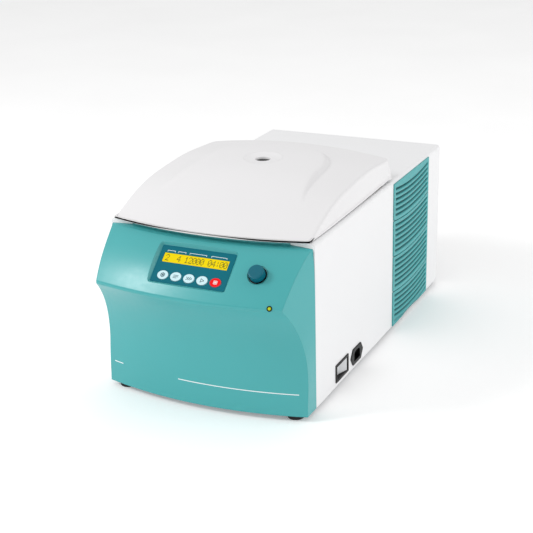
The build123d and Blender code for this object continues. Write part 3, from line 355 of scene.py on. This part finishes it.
BRACKETS = ((-48.0, -36.0), (-31.0, -19.0), (-12.5, 14.0), (22.0, 46.0))
BRACKET_TOP = 21.6
BRACKET_LOW = 20.0
BRACKET_WIDTH = 0.7


def polar(radius, turn):
    return radius * math.cos(turn), radius * math.sin(turn)


def snowflake():
    """Three long strokes with a small barb on each side of the six ends."""
    strokes = [(polar(3.3, a), polar(-3.3, a)) for a in (math.pi / 2, math.pi / 6, -math.pi / 6)]
    for k in range(6):
        a = math.pi / 6 + k * math.pi / 3
        for side in (-1.0, 1.0):
            tip = Vector(polar(2.4, a)) + Vector(polar(1.2, a + side))
            strokes.append((tuple(tip), polar(2.0, a)))
    return strokes


# Strokes of the generic key symbols, in millimetres from the middle of the key
SYMBOLS = {
    "key_cool": snowflake(),
    "key_program": [((-3.6, y), (end, y)) for y, end in ((2.0, 3.6), (0, 3.6), (-2.0, 1.4))],
    "key_force": [((x, y), (x + 2.6, 0)) for x in (-4.0, -1.0, 2.0) for y in (-2.0, 2.0)],
    "key_start": [((-2.0, 2.6), (-2.0, -2.6)), ((-2.0, 2.6), (3.0, 0)), ((-2.0, -2.6), (3.0, 0))],
    "key_stop": [((-2.6, 2.4), (2.6, 2.4)), ((2.6, 2.4), (2.6, -2.4)),
                 ((2.6, -2.4), (-2.6, -2.4)), ((-2.6, -2.4), (-2.6, 2.4))]
                + [((-1.2, y), (1.2, y)) for y in (0.9, -0.9, 0)],
}

# Plain numbers on the display: seven rows of five dots, as the bits of a number
DOTS = {
    "0": (14, 17, 19, 21, 25, 17, 14),
    "1": (4, 12, 4, 4, 4, 4, 14),
    "2": (14, 17, 1, 2, 4, 8, 31),
    "4": (2, 6, 10, 18, 31, 2, 2),
    ":": (0, 4, 4, 0, 4, 4, 0),
}


def keypad_frame():
    """The tilted plane of the keypad: X to the right, Y up the slope, Z out of it."""
    return Matrix.Translation(KEYPAD_AT) @ Matrix.Rotation(KEYPAD_TILT, 4, "X")


def make_keypad():
    pad = keypad_frame()
    for index, (body, strokes) in enumerate(SYMBOLS.items()):
        centre = (index - 2) * KEY_PITCH
        bm = bmesh.new()
        for start, end in strokes:
            add_stroke(bm, (start[0] + centre, start[1] + KEY_ROW),
                       (end[0] + centre, end[1] + KEY_ROW),
                       SYMBOL_WIDTH, KEY_TOP, KEY_TOP + INK_RAISED)
        ink = "ink_white" if body == "key_stop" else "ink_petrol"
        finished(body + "_symbol", bm, ink, body, pad)
        bm = bmesh.new()
        wide, tall = KEY_SIZE
        add_ring(bm, ellipse(wide, tall, centre, KEY_ROW),
                 ellipse(wide - 2 * KEY_BORDER, tall - 2 * KEY_BORDER, centre, KEY_ROW),
                 KEY_TOP, KEY_TOP + INK)
        finished(body + "_border", bm, "petrol_foil", body, pad)

    bm = bmesh.new()
    half = DOT_SIZE / 2
    for column, sign in enumerate(DISPLAY_TEXT):
        for row, bits in enumerate(DOTS.get(sign, ())):
            for step in range(5):
                if bits >> (4 - step) & 1:
                    x = TEXT_LEFT + column * SIGN_PITCH + step * DOT_PITCH[0]
                    y = TEXT_LOW + (3 - row) * DOT_PITCH[1]
                    add_prism(bm, [(x - half, y - half), (x + half, y - half),
                                   (x + half, y + half), (x - half, y + half)],
                              GLASS_TOP, GLASS_TOP + INK_RAISED)
    finished("display_digits", bm, "ink_dark", "housing", pad)

    # Short printed brackets over the four groups of numbers
    bm = bmesh.new()
    for low, high in BRACKETS:
        for start, end in (((low, BRACKET_TOP), (high, BRACKET_TOP)),
                           ((low, BRACKET_TOP), (low, BRACKET_LOW)),
                           ((high, BRACKET_TOP), (high, BRACKET_LOW))):
            add_stroke(bm, start, end, BRACKET_WIDTH, FOIL_TOP, FOIL_TOP + INK)
    finished("display_brackets", bm, "ink_white", "housing", pad)


# ---------------------------------------------------------------- front
LED_AT = (0.130, -0.311, 0.1886)
LED_TURN = math.atan2(130.0, 610.0)
LED_RISE = math.radians(30.0)

# The axis about which the front of the moulding and of the lid are turned
FRONT_AXIS = 299.0

STRIPE_LOW = 41.0
STRIPE_HIGH = 42.3
STRIPE_PROUD = 0.08
STRIPE_SUNK = -0.2
STRIPES = ((-154.0, -137.0), (-34.0, 151.0))


def make_led_ring():
    """The black bezel round the status light."""
    out = Vector((math.sin(LED_TURN) * math.cos(LED_RISE),
                  -math.cos(LED_TURN) * math.cos(LED_RISE), math.sin(LED_RISE)))
    across = Vector((math.cos(LED_TURN), math.sin(LED_TURN), 0))
    turn = Matrix((across, out.cross(across), out)).transposed().to_4x4()
    bm = bmesh.new()
    add_lathe(bm, [(2.55, -1.5), (3.9, -1.5), (3.9, 0.2), (3.6, 0.55), (3.1, 0.6), (2.55, 0.2)], 48)
    finished("led_ring", bm, "black_plastic", "housing",
             Matrix.Translation(LED_AT) @ turn)


def moulding_radius(z):
    """The radius of the lower front, which leans in towards the top."""
    return 585.5 - 3.7 * (z - 8.0) / 60.0


def make_pinstripe():
    """Two fine printed lines round the lower front."""
    bm = bmesh.new()
    for start, end in STRIPES:
        count = max(4, int((end - start) / 4))
        loops = []
        for i in range(count + 1):
            x = start + (end - start) * i / count
            loop = []
            for z, lift in ((STRIPE_LOW, STRIPE_SUNK), (STRIPE_LOW, STRIPE_PROUD),
                            (STRIPE_HIGH, STRIPE_PROUD), (STRIPE_HIGH, STRIPE_SUNK)):
                turn = math.asin(x / moulding_radius(z))
                r = moulding_radius(z) + lift
                loop.append((r * math.sin(turn), FRONT_AXIS - r * math.cos(turn), z))
            loops.append(loop)
        add_bar(bm, loops)
    finished("pinstripe", bm, "ink_white", "housing")


# ---------------------------------------------------------------- lid
# The arched roof of the lid and its plateau, as heights along the middle, in millimetres
ROOF = ((-275.5, 255.0), (-195.5, 288.0), (-156.5, 300.5), (-117.5, 307.8), (-59.5, 312.5),
        (-5.0, 314.0), (110.0, 307.4))
PLATEAU = ((-275.5, 235.0), (-172.5, 294.5), (-132.5, 309.1), (-89.5, 316.6), (-12.0, 320.0),
           (75.0, 315.8))
CROWN_LOW = -680.0  # the height of the axis of the crown across X
ROTOR_Y = -49.0

# The cone that ends the plateau: its radius at a height, and its slope
FLANK_RADIUS = 84.5
FLANK_TOP = 330.0
FLANK_LEAN = math.radians(40.0)
CREST_SOFT = 5.0
FOOT_SOFT = 1.6

LID_HALF = 157.4
LID_REAR = 85.5
REAR_CORNER = 9.0
FRONT_RADIUS = 556.5
FRONT_CORNER = 5.0
SHOULDER = 3.6
LID_WALL = 3.0
SIDE_LEAN = math.radians(4.5)
REAR_LEAN = math.radians(14.0)
EDGE_MIDDLE = 263.26
EDGE_RISE = math.radians(0.8)
RIM_HEIGHT = 3.0

DISH_RADIUS = 30.0
DISH_FLOOR = 316.4

DECK = 259.02
SEAL_FRONT = -212.0
SEAL_LENGTH = 268.0
SEAL_STEPS = 24
SEAL_SLACK = 0.3


def along_curve(points, y):
    """A smooth curve through the points (cubic, with slopes from the neighbours)."""
    k = max(0, min(len(points) - 2, sum(1 for p in points if p[0] <= y) - 1))

    def slope(i):
        low, high = max(0, i - 1), min(len(points) - 1, i + 1)
        return (points[high][1] - points[low][1]) / (points[high][0] - points[low][0])

    (y0, z0), (y1, z1) = points[k], points[k + 1]
    span = y1 - y0
    t = (y - y0) / span
    return (z0 * (1 + 2 * t) * (1 - t) ** 2 + z1 * t * t * (3 - 2 * t)
            + span * (slope(k) * t * (1 - t) ** 2 - slope(k + 1) * t * t * (1 - t)))


def crowned(points, x, y):
    return CROWN_LOW + math.sqrt((along_curve(points, y) - CROWN_LOW) ** 2 - x * x)


def flank_height(x, y):
    """The slope round the plateau: straight along the sides and round behind the port."""
    out = math.hypot(x, y - ROTOR_Y) if y > ROTOR_Y else abs(x)
    return FLANK_TOP - (out - FLANK_RADIUS) / math.tan(FLANK_LEAN)


def soft_step(first, second, width, sign):
    """The higher (sign 1) or the lower (sign -1) of two heights, with a rounded change."""
    near = max(width - abs(first - second), 0.0) / width
    pick = max(first, second) if sign > 0 else min(first, second)
    return pick + sign * near * near * width / 4


def lid_height(x, y):
    top = soft_step(crowned(PLATEAU, x, y), flank_height(x, y), CREST_SOFT, -1)
    return soft_step(crowned(ROOF, x, y), top, FOOT_SOFT, 1)


def edge_height(y):
    """The lower edge of the shell, which rises a little towards the hinge."""
    return EDGE_MIDDLE + y * math.tan(EDGE_RISE)


def plateau_shares(start, stop):
    """How far along a line from the dish the plateau ends and how far its flank reaches."""
    steps = 300
    crest = foot = None
    for i in range(steps + 1):
        x, y = (a + (b - a) * i / steps for a, b in zip(start, stop))
        flank = flank_height(x, y)
        if crest is None and flank < crowned(PLATEAU, x, y):
            crest = i / steps
        if foot is None and flank < crowned(ROOF, x, y):
            foot = i / steps
    crest = 0.86 if crest is None else min(max(crest - 0.03, 0.1), 0.86)
    foot = crest + 0.05 if foot is None else min(max(foot + 0.02, crest + 0.05), 0.95)
    return crest, foot


def lid_border():
    """The lid's upper outline, once round: each point with the direction out of it."""
    inner = FRONT_RADIUS - FRONT_CORNER
    end = math.asin((LID_HALF - FRONT_CORNER) / inner)
    half = []
    for i in range(60):
        turn = end * i / 60
        half.append((FRONT_RADIUS * math.sin(turn), FRONT_AXIS - FRONT_RADIUS * math.cos(turn),
                     math.sin(turn), -math.cos(turn)))

    def corner(x, y, radius, first, last, count):
        for i in range(count + 1):
            turn = first + (last - first) * i / count
            half.append((x + radius * math.cos(turn), y + radius * math.sin(turn),
                         math.cos(turn), math.sin(turn)))

    x, y = inner * math.sin(end), FRONT_AXIS - inner * math.cos(end)
    corner(x, y, FRONT_CORNER, end - math.pi / 2, 0.0, 8)
    last = LID_REAR - REAR_CORNER
    half += [(LID_HALF, y + (last - y) * i / 128, 1.0, 0.0) for i in range(1, 128)]
    corner(LID_HALF - REAR_CORNER, last, REAR_CORNER, 0.0, math.pi / 2, 10)
    half += [((LID_HALF - REAR_CORNER) * (1 - i / 54), LID_REAR, 0.0, 1.0) for i in range(1, 55)]
    return half + [(-x, y, -nx, ny) for x, y, nx, ny in reversed(half[1:-1])]


def shoulder_point(inward, x, y, nx, ny):
    """A point on the rounded edge between the roof and the wall, sharper at the front."""
    px, py = x - nx * inward, y - ny * inward
    radius = SHOULDER * (0.35 + 0.65 * max(0.0, min(1.0, ny + 1.0)) ** 0.5)
    gone = max(0.0, 1 - inward / SHOULDER)
    drop = radius * (1 - math.sqrt(1 - gone * gone))
    return px, py, max(lid_height(px, py) - drop, edge_height(py) + 0.6)


def wall_point(share, above, out, x, y, nx, ny):
    """A point on the leaning wall, which ends above the lower edge and may stand out."""
    top = shoulder_point(0.0, x, y, nx, ny)[2]
    low = edge_height(y) + above
    z = max(top + (low - top) * share, min(top, low))
    lean = abs(nx) * math.tan(SIDE_LEAN) + max(ny, 0.0) * math.tan(REAR_LEAN)
    push = (top - z) * lean + out * min(1.0, (top - low) / 6.0 if top > low else 0.0)
    return x + nx * push, y + ny * push, z


def make_lid():
    """The moulded lid as one closed shell, from the dish out to the walls and back inside."""
    border = lid_border()
    lines = []
    for x, y, nx, ny in border:
        away = math.hypot(x, y - ROTOR_Y)
        start = (x / away * DISH_RADIUS, ROTOR_Y + (y - ROTOR_Y) / away * DISH_RADIUS)
        stop = (x - nx * (SHOULDER + 0.4), y - ny * (SHOULDER + 0.4))
        lines.append((start, stop, plateau_shares(start, stop)))

    def roof_loop(zone, part, sink):
        """A loop in one of three zones: plateau (0), its flank (1), the roof outside it (2)."""
        loop = []
        for start, stop, (crest, foot) in lines:
            low, high = ((0.0, crest), (crest, foot), (foot, 1.0))[zone]
            share = (low + (high - low) * part) * (1 - 0.03 * sink / LID_WALL)
            x, y = (a + (b - a) * share for a, b in zip(start, stop))
            loop.append((x, y, lid_height(x, y) - sink))
        return loop

    loops = [roof_loop(zone, i / count, 0.0)
             for zone, count in ((0, 18), (1, 18), (2, 12)) for i in range(count)]
    loops.append(roof_loop(2, 1.0, 0.0))
    loops += [[shoulder_point(inward, *point) for point in border]
              for inward in (3.1, 2.3, 1.6, 1.0, 0.5, 0.15, 0.0)]
    loops += [[wall_point(share, above, out, *point) for point in border]
              for share, above, out in (
                  (0.12, RIM_HEIGHT, 0.0), (0.35, RIM_HEIGHT, 0.0), (0.6, RIM_HEIGHT, 0.0),
                  (0.85, RIM_HEIGHT, 0.0), (1.0, RIM_HEIGHT, 0.0), (1.0, 2.6, 0.45),
                  (1.0, 0.5, 0.5), (1.0, 0.0, 0.1), (1.0, 0.0, 0.4 - LID_WALL),
                  (1.0, RIM_HEIGHT, -LID_WALL))]
    loops += [roof_loop(zone, 1 - i / count, LID_WALL)
              for zone, count in ((2, 7), (1, 5), (0, 10)) for i in range(count)]
    loops.append(roof_loop(0, 0.0, LID_WALL))

    bm = bmesh.new()
    add_skin(bm, loops)
    shell = finished("lid_skin", bm, "lid_plastic", "lid", sharp=50.0)
    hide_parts("lid_shell")


def make_port():
    """The smooth dish round the viewing port, which follows the arched roof."""
    turns = [2 * math.pi * i / 96 for i in range(96)]
    roof = [lid_height(DISH_RADIUS * math.cos(t), ROTOR_Y + DISH_RADIUS * math.sin(t))
            for t in turns]
    # Radius, share of the way from the floor up to the roof, and a lift
    dish = ((29.9, 1.0, -2.0), (30.0, 1.0, 0.0), (29.4, 0.985, 0.0), (28.6, 0.93, 0.0),
            (27.2, 0.80, 0.0), (25.0, 0.61, 0.0), (22.5, 0.42, 0.0), (19.5, 0.23, 0.0),
            (16.5, 0.10, 0.0), (14.2, 0.02, 0.0), (12.8, 0.0, 0.0), (12.2, 0.0, -0.2),
            (11.8, 0.0, -0.8))
    window_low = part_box("port_window")[0][2] / MM - 0.05
    tube = ((11.8, window_low), (10.2, window_low), (10.2, 263.5), (14.5, 263.5), (14.5, 311.0),
            (28.6, 313.0))
    rows = [(r, [DISH_FLOOR + lift + share * (z - DISH_FLOOR) for z in roof])
            for r, share, lift in dish]
    rows += [(r, [z] * len(turns)) for r, z in tube]
    bm = bmesh.new()
    add_skin(bm, [[(r * math.cos(t), r * math.sin(t) + ROTOR_Y, z) for t, z in zip(turns, heights)]
                  for r, heights in rows])
    piece = finished("port_dish", bm, "lid_plastic", "lid", sharp=50.0)
    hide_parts("port_ring")


def make_seal(side, word):
    """The grey strip on the deck under the side of the lid, which closes the gap to it; its
    grey-brown is partly the seal's own colour and partly painted shade for the shadow in the gap.
    """
    loops = []
    for i in range(SEAL_STEPS + 1):
        y = SEAL_FRONT + SEAL_LENGTH * i / SEAL_STEPS
        top = edge_height(y) - SEAL_SLACK
        outline = ((152.4, DECK), (152.4, top - 0.5), (152.9, top), (154.5, top),
                   (155.0, top - 0.5), (155.2, DECK + 0.28), (156.4, DECK))
        loops.append([(side * x, y, z) for x, z in outline])
    bm = bmesh.new()
    add_bar(bm, loops)
    finished("deck_seal_" + word, bm, "seal_grey", "housing", sharp=40.0)


# ---------------------------------------------------------------- louvres
LOUVRE_FRONT = 87.0
LOUVRE_WIDTH = 175.0
LOUVRE_TOP = 254.0
LOUVRE_LOW = 8.5
LOUVRE_SAG = 7.5
LOUVRE_PROUD = 1.5
LOUVRE_BACK = -2.2
MODULES = 4
RIBS = 7
MODULE_HEIGHT = (LOUVRE_TOP - LOUVRE_LOW) / MODULES
RIB_PITCH = MODULE_HEIGHT / RIBS
HOUSING_X = 163.5
SEAM = 0.75
GROOVE_HALF = 2.7
GROOVE_DEPTH = 3.6
FLANGE = 9.0  # the panel lies on the housing sheet this far from its top and bottom
FLANGE_DEPTH = 1.3


def groove_depth(down, along, z):
    """How deep the surface lies at a distance down the module and along the panel."""
    place = down / RIB_PITCH
    nearest = round(place)
    away = abs(place - nearest) * RIB_PITCH
    if not 1 <= nearest < RIBS or away >= GROOVE_HALF:
        return 0.0
    depth = GROOVE_DEPTH * (0.5 + 0.5 * math.cos(math.pi * away / GROOVE_HALF)) ** 0.7
    ends = min((along - 7.8) / 1.6, (LOUVRE_WIDTH - 4.8 - along) / 1.2)
    depth *= min(1.0, max(0.0, ends))
    if z < LOUVRE_LOW + FLANGE or z > LOUVRE_TOP - FLANGE:
        depth = min(depth, FLANGE_DEPTH)
    return depth


def close_back(bm, x):
    """Carry the rim of an open sheet back to a flat face at X, in a fixed order."""
    rim = [(e.link_loops[0].vert, e.link_loops[0].link_loop_next.vert)
           for e in bm.edges if e.is_boundary]
    back = {first: bm.verts.new((x, first.co.y, first.co.z)) for first, _ in rim}
    for first, second in rim:
        bm.faces.new((second, first, back[first], back[second]))
    follow = dict(rim)
    outline = [rim[0][0]]
    while follow[outline[-1]] is not outline[0]:
        outline.append(follow[outline[-1]])
    bm.faces.new([back[vert] for vert in outline])


def make_louvre(side, word, index):
    """One louvre module with rounded ribs between two sagging seams."""
    columns = [0.0, 0.8, 4.0, 7.6, 8.4, 9.2, 10.4]
    columns += [10.4 + (LOUVRE_WIDTH - 17.6) * i / 22 for i in range(1, 23)]
    columns += [LOUVRE_WIDTH - rest for rest in (6.0, 5.2, 4.4, 0.8, 0.0)]
    rows = [(rib + step / 12) * RIB_PITCH for rib in range(RIBS) for step in range(12)]
    rows = [r for r in rows if SEAM + 0.8 < r < MODULE_HEIGHT - SEAM - 0.8]
    # The top and the bottom of the panel are straight, so those modules reach past them
    rows = ([-9.0, -6.0, -3.0] if index == 0 else [SEAM, SEAM + 0.5]) + rows
    rows += [MODULE_HEIGHT - SEAM - 0.5, MODULE_HEIGHT - SEAM]
    if index == MODULES - 1:
        rows += [MODULE_HEIGHT + more for more in (1.5, 4.0, 7.0, 10.0, 14.0)]

    bm = bmesh.new()
    grid = []
    for down in rows:
        line = []
        for along in columns:
            off = (along - LOUVRE_WIDTH / 2) / (LOUVRE_WIDTH / 2)
            z = LOUVRE_TOP - index * MODULE_HEIGHT - down - LOUVRE_SAG * (1 - off * off)
            proud = LOUVRE_PROUD - groove_depth(down, along, z)
            line.append(bm.verts.new((side * (HOUSING_X + proud) * MM,
                                      (LOUVRE_FRONT + along) * MM, z * MM)))
        grid.append(line)
    for upper, lower in zip(grid, grid[1:]):
        for i in range(len(columns) - 1):
            bm.faces.new((upper[i], lower[i], lower[i + 1], upper[i + 1]))
    for level, way in ((LOUVRE_TOP, 1), (LOUVRE_LOW, -1)):
        everything = list(bm.verts) + list(bm.edges) + list(bm.faces)
        bmesh.ops.bisect_plane(bm, geom=everything, plane_co=(0, 0, level * MM),
                               plane_no=(0, 0, way), clear_outer=True, dist=1e-7)
    close_back(bm, side * (HOUSING_X + LOUVRE_BACK) * MM)
    skin = finished(f"louvre_skin_{word}_{index + 1}", bm, "louvre_teal_groove_shade", "housing",
                    sharp=60.0)
    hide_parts(f"louvre_{word}_{index + 1}")


# ---------------------------------------------------------------- stage
FLOOR_HALF = 6.0
FLOOR_GLOW = 0.16
SKY_STRENGTH = 0.69
WHITE = (1.0, 1.0, 1.0, 1.0)

# Name, place, aim, size in metres and power in watts
LAMPS = (
    ("key_lamp", (-1.75, -1.45, 1.85), (0.0, -0.1, 0.15), 0.7, 28.0),
    ("side_lamp", (2.8, 0.7, 1.2), (0.0, 0.0, 0.15), 1.6, 19.0),
    ("top_lamp", (0.2, 0.6, 2.8), (0.0, 0.0, 0.2), 2.2, 4.0),
)


def make_stage():
    """A pale floor, soft lamps and an even sky."""
    data = bpy.data.meshes.new("floor")
    corners = [(x * FLOOR_HALF, y * FLOOR_HALF, 0) for x, y in ((-1, -1), (1, -1), (1, 1), (-1, 1))]
    data.from_pydata(corners, [], [(0, 1, 2, 3)])
    floor = bpy.data.objects.new("floor", data)
    bpy.context.scene.collection.objects.link(floor)
    paper = Nodes("floor_paper")
    paper.join(paper.blend(paper.spread(paper.noise(3.0), 0.0, 1.0),
                           srgb(250, 250, 250), srgb(253, 253, 253)),
               paper.shader.inputs["Base Color"])
    paper.set(Roughness=0.9, Specular_IOR_Level=0.1, Emission_Color=WHITE,
              Emission_Strength=FLOOR_GLOW)
    data.materials.append(paper.material)

    world = bpy.data.worlds.new("sky")
    bpy.context.scene.world = world
    world.use_nodes = True
    sky = world.node_tree.nodes["Background"]
    sky.inputs["Color"].default_value = WHITE
    sky.inputs["Strength"].default_value = SKY_STRENGTH

    for name, place, aim, size, power in LAMPS:
        lamp_data = bpy.data.lights.new(name, "AREA")
        lamp_data.size = size
        lamp_data.energy = power
        lamp = bpy.data.objects.new(name, lamp_data)
        lamp.location = place
        lamp.rotation_euler = (Vector(place) - Vector(aim)).to_track_quat("Z", "Y").to_euler()
        bpy.context.scene.collection.objects.link(lamp)
    bpy.context.scene.view_settings.view_transform = "Standard"


SIDES = ((1, "right"), (-1, "left"))

make_keypad()
make_led_ring()
make_pinstripe()
make_lid()
make_port()
for side, word in SIDES:
    make_seal(side, word)
for index in range(MODULES):
    for side, word in SIDES:
        make_louvre(side, word, index)
make_camera()
make_stage()
